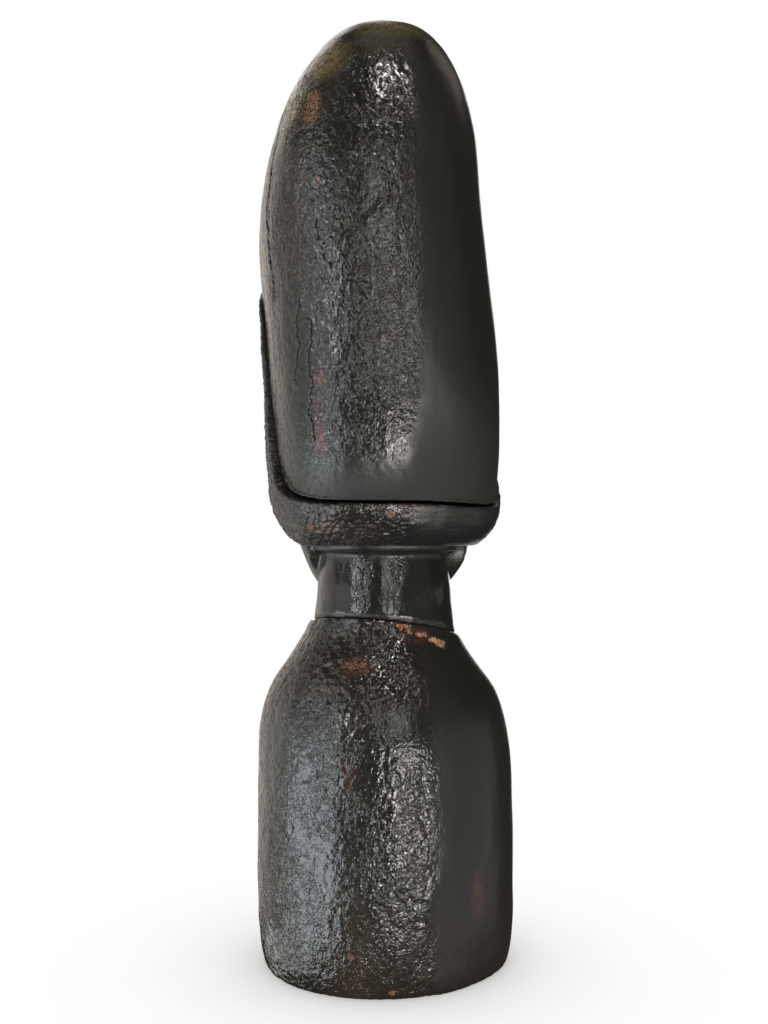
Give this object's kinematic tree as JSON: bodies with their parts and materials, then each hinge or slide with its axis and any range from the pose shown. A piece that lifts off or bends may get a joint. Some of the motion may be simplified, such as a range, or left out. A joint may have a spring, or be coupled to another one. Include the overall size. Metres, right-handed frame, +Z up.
{
  "type": "carved ancestor figure",
  "caption": "Tall-headed carved wooden bust: bell-shaped shoulder block, round neck, calm face, a granular roll of hair and a high domed cap, all finished black.",
  "frame": {"origin": "middle of the flat underside of the shoulder block, on the surface the figure stands on", "axes": "+Z up along the figure to the crown of the cap; the face looks along -Y and +X is the figure's own left"},
  "size_m": [0.1178, 0.1347, 0.4283],
  "materials": {
    "blackened_wood": "black stain and wax over rough gouge work, uneven gloss",
    "polished_wood": "black stain rubbed to a high gloss, wood grain showing through",
    "granular_hair": "punched granular texture, black stain, semi-gloss",
    "raw_wood": "bare reddish hardwood, matt"
  },
  "bodies": {
    "root": {"shoulder_block": "blackened_wood", "head_block": "polished_wood", "cap": "polished_wood", "hair_roll": "granular_hair", "neck_tenon": "raw_wood", "cap_peg_left_upper": "raw_wood", "cap_peg_left_lower": "raw_wood", "hair_peg_nape": "raw_wood"}
  },
  "joints": []
}
